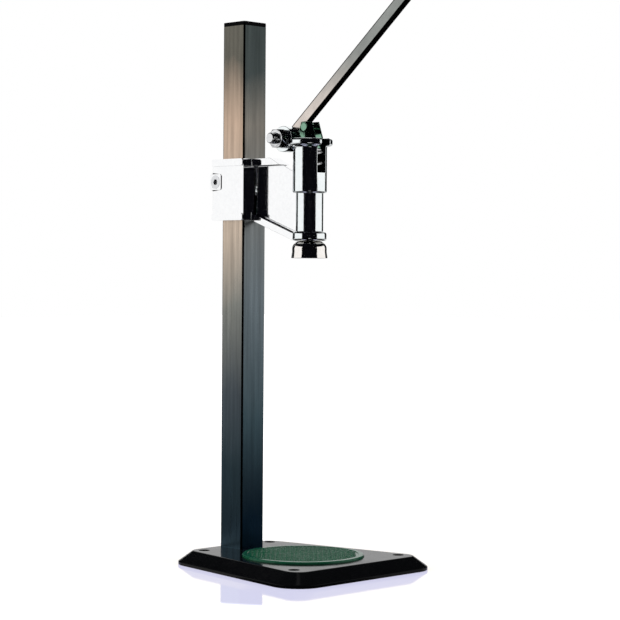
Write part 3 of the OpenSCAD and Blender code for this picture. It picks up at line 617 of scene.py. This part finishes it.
def barrel_chrome():
    """Chrome outside, dull steel inside, painted near black as shade."""
    material, tree, output = new_material("barrel_chrome")
    place = object_parts(tree, "Object")
    from_axis = distance(tree, combine(tree, place["X"], place["Y"]))
    bore = math_node(tree, "LESS_THAN", from_axis, BORE_RADIUS)
    between = math_node(tree, "LESS_THAN", math_node(tree, "ABSOLUTE", place["X"]), SLOT_HALF)
    in_front = math_node(tree, "MULTIPLY", between, math_node(tree, "LESS_THAN", place["Y"], 0.0))
    above = math_node(tree, "GREATER_THAN", place["Z"], SLOT_FLOOR)
    slot = math_node(tree, "MULTIPLY", in_front, above)
    inside = math_node(tree, "MAXIMUM", bore, slot)
    cloud = grain(tree, CHROME_GRAIN)
    chrome = blend_colours(tree, cloud, CHROME, CHROME_SHADE)
    # The bore and the slot's faces are painted near black: painted shade in the recess.
    tone = blend_colours(tree, inside, chrome, BORE_PAINTED_SHADE)
    polish = spread(tree, grain(tree, RUB_SCALE), *CHROME_ROUGHNESS)
    dull = math_node(tree, "MULTIPLY", inside, BORE_ROUGHNESS)
    roughness = math_node(tree, "MAXIMUM", polish, dull)
    close_finish(tree, output, tone, roughness, cloud, CHROME_BUMP, {"Metallic": 1.0})
    return material


finishes["barrel_chrome"] = barrel_chrome()
print("barrel finish ready")

# %% [markdown]
# Moulded and cast pieces have no knife edges. Each visible solid is copied from the frame, its
# triangles are joined to flat faces, and its sharp edges get a small round, apart from the tiny
# ones that make up the carrier's arcs. In the casting, the hollow edges are rounder than the
# outer ones. Weighted normals keep the flats flat. The copy then stands for the solid, so its
# size and place can't drift.

# %% Eased copies of the solids
SHARP_ANGLE = math.radians(25)
FLAT_ANGLE = math.radians(0.5)
KEEP_SHARP = math.radians(40)
EASE_STEPS = 3
MERGE = 0.002 * MM


def finish_piece(piece, node, slot):
    """The piece stands for a CAD node: its body, its slot and its finish."""
    piece.data.materials.clear()
    piece.data.materials.append(finishes[slot])
    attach(piece, body_of_node[node])
    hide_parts(node)


def as_piece(name, bm):
    """A new object from a bmesh, with smooth faces and even shading."""
    mesh = bpy.data.meshes.new(name)
    bm.to_mesh(mesh)
    bm.free()
    mesh.shade_smooth()
    mesh.set_sharp_from_angle(angle=KEEP_SHARP)
    piece = bpy.data.objects.new(name, mesh)
    scene.collection.objects.link(piece)
    even = piece.modifiers.new("even_shading", "WEIGHTED_NORMAL")
    even.keep_sharp = True
    return piece


def eased_copy(name, node, width, hollow, shortest):
    """A copy with rounded edges. A hollow width of its own rounds the inner edges first."""
    bm = bmesh.new()
    bm.from_mesh(nodes[node].data)
    bmesh.ops.remove_doubles(bm, verts=bm.verts, dist=MERGE)
    bmesh.ops.dissolve_degenerate(bm, edges=bm.edges, dist=MERGE)
    bmesh.ops.dissolve_limit(bm, angle_limit=FLAT_ANGLE, verts=bm.verts, edges=bm.edges)
    rounds = [(hollow, (False,)), (width, (True,))] if hollow else [(width, (False, True))]
    for offset, wanted in rounds:
        sharp = [e for e in bm.edges if e.is_manifold and e.calc_face_angle(0) > SHARP_ANGLE
                 and e.calc_length() >= shortest and e.is_convex in wanted]
        bmesh.ops.bevel(bm, geom=sharp, offset=offset, segments=EASE_STEPS, profile=0.5,
                        affect="EDGES", clamp_overlap=False)
        bm.normal_update()
    return as_piece(name, bm)


slot_of_node = {row["node"]: row["material_slot"] for row in frame["record"]["subparts"]}
EASED = {
    "base_moulding": ("base_shell", 0.6 * MM, None, 0),
    "column_plug": ("column_cap", 0.7 * MM, None, 0),
    "carrier_casting": ("head_carrier", 0.22 * MM, 1.2 * MM, 1 * MM),
    "barrel_turned": ("barrel", 0.5 * MM, None, 0),
    "press_dome": ("press_head", 0.4 * MM, None, 0),
    "press_pin": ("head_pin", 0.3 * MM, None, 0),
    "crimp_bell": ("bell", 0.15 * MM, None, 0),
    "fulcrum_rings": ("fulcrum_washers", 0.2 * MM, None, 0),
    "clamp_rings": ("clamp_washers", 0.2 * MM, None, 0),
    "clamp_screw": ("clamp_bolt", 0.2 * MM, None, 0),
    "lever_blank": ("lever_bar", 0.5 * MM, None, 0),
    "grip_moulding": ("lever_grip", 0.8 * MM, None, 0),
}
for name, (node, *sizes) in EASED.items():
    finish_piece(eased_copy(name, node, *sizes), node, slot_of_node[node])
print("eased:", len(EASED))

# %% [markdown]
# Nuts and bolt heads are hexagon bar with a turned chamfer, which leaves the curved arcs at each
# corner. One formula gives them: a ring of points that follows the hexagon, set back along the
# axis by how far each point lies outside the chamfer's circle. Lofting such rings makes the nut
# or the whole bolt.

# %% Hexagon nuts and bolts
RING_STEPS = 96
CHAMFER_TAN = math.tan(math.radians(30))
CHAMFER_SHARE = 0.95
HEAD_CENTRE = 0.97
NUT_LEAD = 0.6 * MM
THREAD_END = 0.8 * MM
THREAD_GAP = 0.05 * MM
FULCRUM_R, FULCRUM_HEAD = 5 * MM, 6.4 * MM
CLAMP_R = 4 * MM


def round_ring(radius, z):
    """A ring of points on a circle."""
    turns = [2 * math.pi * i / RING_STEPS for i in range(RING_STEPS)]
    return [(radius * math.cos(t), radius * math.sin(t), z) for t in turns]


def hex_ring(across, z, set_back):
    """A ring on the hexagon's sides. set_back is 1 or -1 at a chamfered end, 0 at a plain one."""
    ring = []
    circle = across / 2 * CHAMFER_SHARE
    for i in range(RING_STEPS):
        turn = 2 * math.pi * i / RING_STEPS
        from_flat = (turn + math.pi / 6) % (math.pi / 3) - math.pi / 6
        radius = across / 2 / math.cos(from_flat)
        depth = (radius - circle) * CHAMFER_TAN * set_back
        aim = turn + math.pi / 2
        ring.append((radius * math.sin(aim), -radius * math.cos(aim), z + depth))
    return ring


def loft(rings, closed_loop):
    """A surface through rings of points. Its ends join in a closed loop, or else are filled."""
    bm = bmesh.new()
    made = [[bm.verts.new(p) for p in ring] for ring in rings]
    pairs = list(zip(made, made[1:]))
    if closed_loop:
        pairs.append((made[-1], made[0]))
    for low, high in pairs:
        for i in range(RING_STEPS):
            j = (i + 1) % RING_STEPS
            bm.faces.new((low[i], low[j], high[j], high[i]))
    if not closed_loop:
        bm.faces.new(made[0])
        bm.faces.new(made[-1])
    bmesh.ops.recalc_face_normals(bm, faces=bm.faces)
    return bm


def along_x(node, sign):
    """Puts a shape drawn along +Z on a node's axis, from its end on that side, pointing inwards."""
    low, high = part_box(node)
    end = high.x if sign > 0 else low.x
    middle = (low + high) / 2
    turn = Matrix.Rotation(math.radians(-90 * sign), 4, "Y")
    return Matrix.Translation((end, middle.y, middle.z)) @ turn


def hex_nut(name, node, thread_r):
    """A nut with chamfered ends and a lead into its thread."""
    low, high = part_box(node)
    across, length = high.z - low.z, high.x - low.x
    circle = across / 2 * CHAMFER_SHARE
    mouth = thread_r + NUT_LEAD
    bm = loft([
        round_ring(thread_r, NUT_LEAD), round_ring(mouth, 0), round_ring(circle, 0),
        hex_ring(across, 0, 1), hex_ring(across, length, -1),
        round_ring(circle, length), round_ring(mouth, length),
        round_ring(thread_r, length - NUT_LEAD),
    ], True)
    bm.transform(along_x(node, -1))
    finish_piece(as_piece(name, bm), node, slot_of_node[node])


def hex_bolt(name, node, shank_r, head):
    """A bolt with a chamfered head, a shank and a chamfered end."""
    low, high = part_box(node)
    across, length = high.z - low.z, high.x - low.x
    circle = across / 2 * CHAMFER_SHARE
    bm = loft([
        round_ring(circle * HEAD_CENTRE, 0), round_ring(circle, 0),
        hex_ring(across, 0, 1), hex_ring(across, head, 0),
        round_ring(circle, head), round_ring(shank_r, head),
        round_ring(shank_r, length - THREAD_END), round_ring(shank_r - THREAD_END, length),
    ], False)
    bm.transform(along_x(node, 1))
    finish_piece(as_piece(name, bm), node, slot_of_node[node])


hex_nut("fulcrum_hexagon", "fulcrum_nut", FULCRUM_R + THREAD_GAP)
hex_nut("clamp_hexagon", "clamp_nut", CLAMP_R + THREAD_GAP)
hex_bolt("fulcrum_hexagon_bolt", "fulcrum_bolt", FULCRUM_R, FULCRUM_HEAD)
print("hexagon pieces: 3")

# %% [markdown]
# What repeats or follows a path is grown by Geometry Nodes: the weave of the mat, the wire of the
# return spring, the threads on the bolt ends and the ribs on the grip. Each tree has named inputs
# for its sizes, and ends in real faces with a finish, because instances would be lost in an
# export.

# %% Helpers for grown pieces
NUMBER, COUNT, FINISH = "NodeSocketFloat", "NodeSocketInt", "NodeSocketMaterial"


def growth(name, *inputs):
    """An empty geometry tree: the tree, its inputs and its output node."""
    tree = bpy.data.node_groups.new(name, "GeometryNodeTree")
    sockets(tree, "INPUT", *inputs, ("Finish", FINISH, None))
    sockets(tree, "OUTPUT", ("Geometry", "NodeSocketGeometry", None))
    return tree, add(tree, "NodeGroupInput").outputs, add(tree, "NodeGroupOutput")


def close_growth(tree, geometry, given, output):
    """Real faces with a finish, as the tree's result."""
    smooth = add(tree, "GeometryNodeSetShadeSmooth", {"Geometry": geometry})
    real = add(tree, "GeometryNodeRealizeInstances", {"Geometry": smooth.outputs[0]})
    painted = add(tree, "GeometryNodeSetMaterial",
                  {"Geometry": real.outputs[0], "Material": given["Finish"]})
    tree.links.new(painted.outputs[0], output.inputs[0])


def grow(name, tree, slot, place=Matrix.Identity(4), **sizes):
    """A plain mesh grown by a tree at given sizes, and put in its place."""
    piece = bpy.data.objects.new(name, bpy.data.meshes.new(name))
    scene.collection.objects.link(piece)
    grower = piece.modifiers.new("growth", "NODES")
    grower.node_group = tree
    values = {key.replace("_", " "): value for key, value in sizes.items()}
    values["Finish"] = finishes[slot]
    for item in tree.interface.items_tree:
        if item.in_out == "INPUT":
            grower[item.identifier] = values[item.name]
    evaluated = piece.evaluated_get(bpy.context.evaluated_depsgraph_get())
    made = bpy.data.meshes.new_from_object(evaluated)
    piece.modifiers.remove(grower)
    piece.data = made
    made.transform(place)
    print(name, len(made.polygons), "faces")
    return piece


print("growth helpers ready")

# %% [markdown]
# The return spring is one wire swept along a helix, whose first and last turns lie flat. It
# stands on its foot in the barrel and is squashed by the plunger's stroke.

# %% Return spring
SPRING_TURNS, SPRING_FLAT = 5.0, 0.75
SPRING_START = math.radians(-74)
COIL_R, WIRE_R = 11.1 * MM, 0.95 * MM
COIL_POINTS, WIRE_SIDES = 420, 14

tree, given, output = growth(
    "spring_wire", ("Turns", NUMBER, 5.0), ("Flat turns", NUMBER, 0.75), ("Start", NUMBER, 0.0),
    ("Coil radius", NUMBER, 0.011), ("Wire radius", NUMBER, 0.001), ("Foot", NUMBER, 0.0),
    ("Height", NUMBER, 0.06),
)
line = add(tree, "GeometryNodeCurvePrimitiveLine")
points = add(tree, "GeometryNodeResampleCurve", {"Curve": line.outputs[0], "Count": COIL_POINTS})
along = add(tree, "GeometryNodeSplineParameter").outputs["Factor"]
turn = math_node(tree, "MULTIPLY", along, given["Turns"])
angle = math_node(tree, "ADD", given["Start"], math_node(tree, "MULTIPLY", turn, 2 * math.pi))
both_flats = math_node(tree, "MULTIPLY", given["Flat turns"], 2.0)
free_turns = math_node(tree, "SUBTRACT", given["Turns"], both_flats)
past_flat = math_node(tree, "SUBTRACT", turn, given["Flat turns"])
rise = math_node(tree, "DIVIDE", past_flat, free_turns, clamp=True)
wire_width = math_node(tree, "MULTIPLY", given["Wire radius"], 2.0)
room = math_node(tree, "SUBTRACT", given["Height"], wire_width)
foot = math_node(tree, "ADD", given["Foot"], given["Wire radius"])
z = math_node(tree, "ADD", foot, math_node(tree, "MULTIPLY", rise, room))
x = math_node(tree, "MULTIPLY", given["Coil radius"], math_node(tree, "COSINE", angle))
y = math_node(tree, "MULTIPLY", given["Coil radius"], math_node(tree, "SINE", angle))
coil = add(tree, "GeometryNodeSetPosition",
           {"Geometry": points.outputs[0], "Position": combine(tree, x, y, z)})
wire = add(tree, "GeometryNodeCurvePrimitiveCircle",
           {"Resolution": WIRE_SIDES, "Radius": given["Wire radius"]})
swept = add(tree, "GeometryNodeCurveToMesh",
            {"Curve": coil.outputs[0], "Profile Curve": wire.outputs[0], "Fill Caps": True})
close_growth(tree, swept.outputs[0], given, output)

spring_low, spring_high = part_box("return_spring")
spring_height = spring_high.z - spring_low.z
spring = grow("spring_wire", tree, "spring_steel", Turns=SPRING_TURNS, Flat_turns=SPRING_FLAT,
              Start=SPRING_START, Coil_radius=COIL_R, Wire_radius=WIRE_R, Foot=spring_low.z,
              Height=spring_height)
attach(spring, body_of_node["return_spring"])
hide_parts("return_spring")
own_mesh(spring)

# %% [markdown]
# The bolt ends that stand out of their nuts show a thread: a fine ridge on a helix, laid on the
# shank.

# %% Threads on the bolt ends
THREAD_SUNK, THREAD_RIDGE = 0.1 * MM, 0.32 * MM
TURN_POINTS, RIDGE_SIDES = 40, 6
BOLT_ENDS = (
    ("fulcrum_bolt", "fulcrum_nut", -1, FULCRUM_R, 1.5 * MM),
    ("clamp_bolt", "clamp_nut", 1, CLAMP_R, 1.25 * MM),
)

tree, given, output = growth(
    "thread", ("Radius", NUMBER, 0.005), ("Pitch", NUMBER, 0.0015), ("Length", NUMBER, 0.004),
    ("Ridge", NUMBER, 0.0004),
)
turns = math_node(tree, "DIVIDE", given["Length"], given["Pitch"])
helix = add(tree, "GeometryNodeCurveSpiral", {
    "Resolution": TURN_POINTS, "Rotations": turns,
    "Start Radius": given["Radius"], "End Radius": given["Radius"], "Height": given["Length"]})
ridge = add(tree, "GeometryNodeCurvePrimitiveCircle",
            {"Resolution": RIDGE_SIDES, "Radius": given["Ridge"]})
swept = add(tree, "GeometryNodeCurveToMesh",
            {"Curve": helix.outputs[0], "Profile Curve": ridge.outputs[0], "Fill Caps": True})
close_growth(tree, swept.outputs[0], given, output)

for bolt, nut, sign, radius, pitch in BOLT_ENDS:
    side = 1 if sign > 0 else 0
    bare = abs(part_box(nut)[side].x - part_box(bolt)[side].x) - 2 * THREAD_END
    start = along_x(bolt, sign) @ Matrix.Translation((0, 0, THREAD_END))
    thread = grow(f"{bolt}_thread", tree, "zinc_steel", start, Radius=radius - THREAD_SUNK,
                  Pitch=pitch, Length=bare, Ridge=THREAD_RIDGE)
    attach(thread, body_of_node[bolt])

# %% [markdown]
# The mat is a soft green disc, drawn as a lathe would turn it. Its plain rim has a round edge,
# and its field is sunk.

# %% Bottle mat
MAT_BAND = 5 * MM
MAT_EDGE = 1.4 * MM
MAT_FIELD = 0.6 * MM
MAT_FOOT = 0.4 * MM
FIELD_EDGE = 0.3 * MM
EDGE_ARC = 6

mat_low, mat_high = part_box("bottle_mat")
mat_middle = (mat_low + mat_high) / 2
mat_r = (mat_high.y - mat_low.y) / 2
field_r = mat_r - MAT_BAND
rings = [round_ring(mat_r - MAT_FOOT, mat_low.z), round_ring(mat_r, mat_low.z + MAT_FOOT)]
for i in range(EDGE_ARC + 1):
    turn = math.pi / 2 * i / EDGE_ARC
    inwards, below = MAT_EDGE * (1 - math.cos(turn)), MAT_EDGE * (1 - math.sin(turn))
    rings.append(round_ring(mat_r - inwards, mat_high.z - below))
rings += [
    round_ring(field_r + FIELD_EDGE, mat_high.z), round_ring(field_r, mat_high.z - FIELD_EDGE),
    round_ring(field_r, mat_high.z - MAT_FIELD),
]
bm = loft(rings, False)
bm.transform(Matrix.Translation((mat_middle.x, mat_middle.y, 0)))
finish_piece(as_piece("mat_disc", bm), "bottle_mat", "mat_green")
print("mat radius", round(mat_r, 4))

# %% [markdown]
# The sunk field carries short ribs laid like basket weave, which give the bottle grip and let
# water run off. They are one dash, repeated on a grid and turned a quarter at every second place.

# %% Ribs on the mat
MAT_PITCH = 3.1 * MM
MAT_RIB_LENGTH, MAT_RIB_WIDTH = 4.4 * MM, 1.5 * MM
RIB_CLEAR = 2.2 * MM
DASH_SIDES, DASH_RINGS = 8, 6

tree, given, output = growth(
    "mat_ribs", ("Field radius", NUMBER, 0.05), ("Rows", COUNT, 30), ("Pitch", NUMBER, 0.003),
    ("Rib length", NUMBER, 0.004), ("Rib width", NUMBER, 0.0012), ("Rib height", NUMBER, 0.0006),
)
side = math_node(tree, "MULTIPLY", given["Pitch"], math_node(tree, "SUBTRACT", given["Rows"], 1.0))
grid = add(tree, "GeometryNodeMeshGrid", {
    "Size X": side, "Size Y": side, "Vertices X": given["Rows"], "Vertices Y": given["Rows"]})
from_middle = distance(tree, add(tree, "GeometryNodeInputPosition").outputs[0])
inside = math_node(tree, "LESS_THAN", from_middle, given["Field radius"])
index = add(tree, "GeometryNodeInputIndex").outputs[0]
row = math_node(tree, "FLOOR", math_node(tree, "DIVIDE", index, given["Rows"]))
column = math_node(tree, "MODULO", index, given["Rows"])
parity = math_node(tree, "MODULO", math_node(tree, "ADD", row, column), 2.0)
turned = math_node(tree, "MULTIPLY", parity, math.pi / 2)
dash = add(tree, "GeometryNodeMeshUVSphere",
           {"Segments": DASH_SIDES, "Rings": DASH_RINGS, "Radius": 0.5})
shape = combine(tree, given["Rib length"], given["Rib width"],
                math_node(tree, "MULTIPLY", given["Rib height"], 2.0))
rib = add(tree, "GeometryNodeTransform", {"Geometry": dash.outputs[0], "Scale": shape})
laid = add(tree, "GeometryNodeInstanceOnPoints", {
    "Points": grid.outputs[0], "Selection": inside, "Instance": rib.outputs[0],
    "Rotation": combine(tree, z=turned)})
close_growth(tree, laid.outputs[0], given, output)

field_at = Matrix.Translation((mat_middle.x, mat_middle.y, mat_high.z - MAT_FIELD))
ribs = grow("mat_ribs", tree, "mat_green", field_at, Field_radius=field_r - RIB_CLEAR,
            Rows=2 * math.ceil(field_r / MAT_PITCH) + 1, Pitch=MAT_PITCH, Rib_length=MAT_RIB_LENGTH,
            Rib_width=MAT_RIB_WIDTH, Rib_height=MAT_FIELD)
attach(ribs, body_of_node["bottle_mat"])

# %% [markdown]
# The grip is a black moulded handle. Rings round it, a few millimetres apart, keep a hand from
# slipping. Their radius follows the grip's swell.

# %% Ribs on the grip
LEVER_REST = math.radians(40)
LEVER_LEN = 400 * MM
LEVER_OFF = 4 * MM
GRIP_COVER = 6 * MM
GRIP_LEN = 115 * MM
GRIP_MID_R, GRIP_END_R = 14.5 * MM, 12 * MM
RIB_FROM, RIB_PITCH, RIB_COUNT = 17 * MM, 9 * MM, 10
RIB_RIDGE = 0.05
RIB_POINTS, RIB_SIDES = 72, 10

tree, given, output = growth(
    "grip_ribs", ("Rings", COUNT, 10), ("Pitch", NUMBER, 0.009), ("First", NUMBER, 0.02),
    ("Grip length", NUMBER, 0.1), ("End radius", NUMBER, 0.01), ("Middle radius", NUMBER, 0.012),
    ("Ridge", NUMBER, 0.04),
)
line = add(tree, "GeometryNodeMeshLine", {
    "Count": given["Rings"], "Start Location": combine(tree, z=given["First"]),
    "Offset": combine(tree, z=given["Pitch"])})
place = add(tree, "GeometryNodeInputPosition").outputs[0]
z = add(tree, "ShaderNodeSeparateXYZ", {0: place}).outputs["Z"]
middle = math_node(tree, "DIVIDE", given["Grip length"], 2.0)
off = math_node(tree, "ABSOLUTE", math_node(tree, "SUBTRACT", z, middle))
share = math_node(tree, "SUBTRACT", 1.0, math_node(tree, "DIVIDE", off, middle))
swell = math_node(tree, "SUBTRACT", given["Middle radius"], given["End radius"])
radius = math_node(tree, "ADD", given["End radius"], math_node(tree, "MULTIPLY", swell, share))
ring = add(tree, "GeometryNodeCurvePrimitiveCircle", {"Resolution": RIB_POINTS, "Radius": 1.0})
ridge = add(tree, "GeometryNodeCurvePrimitiveCircle",
            {"Resolution": RIB_SIDES, "Radius": given["Ridge"]})
swept = add(tree, "GeometryNodeCurveToMesh",
            {"Curve": ring.outputs[0], "Profile Curve": ridge.outputs[0]})
laid = add(tree, "GeometryNodeInstanceOnPoints", {
    "Points": line.outputs[0], "Instance": swept.outputs[0],
    "Scale": combine(tree, radius, radius, radius)})
close_growth(tree, laid.outputs[0], given, output)

fulcrum = Vector(joint["lever_pull"]["pos_m"])
at_lever = Matrix.Translation(fulcrum) @ Matrix.Rotation(-LEVER_REST, 4, "X")
to_end = Matrix.Translation((0, -LEVER_LEN - GRIP_COVER, LEVER_OFF))
grip_end = at_lever @ to_end @ Matrix.Rotation(math.radians(-90), 4, "X")
grip_ribs = grow("grip_ribs", tree, "grip_rubber", grip_end, Rings=RIB_COUNT, Pitch=RIB_PITCH,
                 First=RIB_FROM, Grip_length=GRIP_LEN, End_radius=GRIP_END_R,
                 Middle_radius=GRIP_MID_R, Ridge=RIB_RIDGE)
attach(grip_ribs, body_of_node["lever_grip"])

# %% [markdown]
# The solids that stay as they are, mostly inside, take the finish of their slot.

# %% Finish the rest and close
for node, obj in nodes.items():
    obj.data.materials.clear()
    obj.data.materials.append(finishes[slot_of_node[node]])
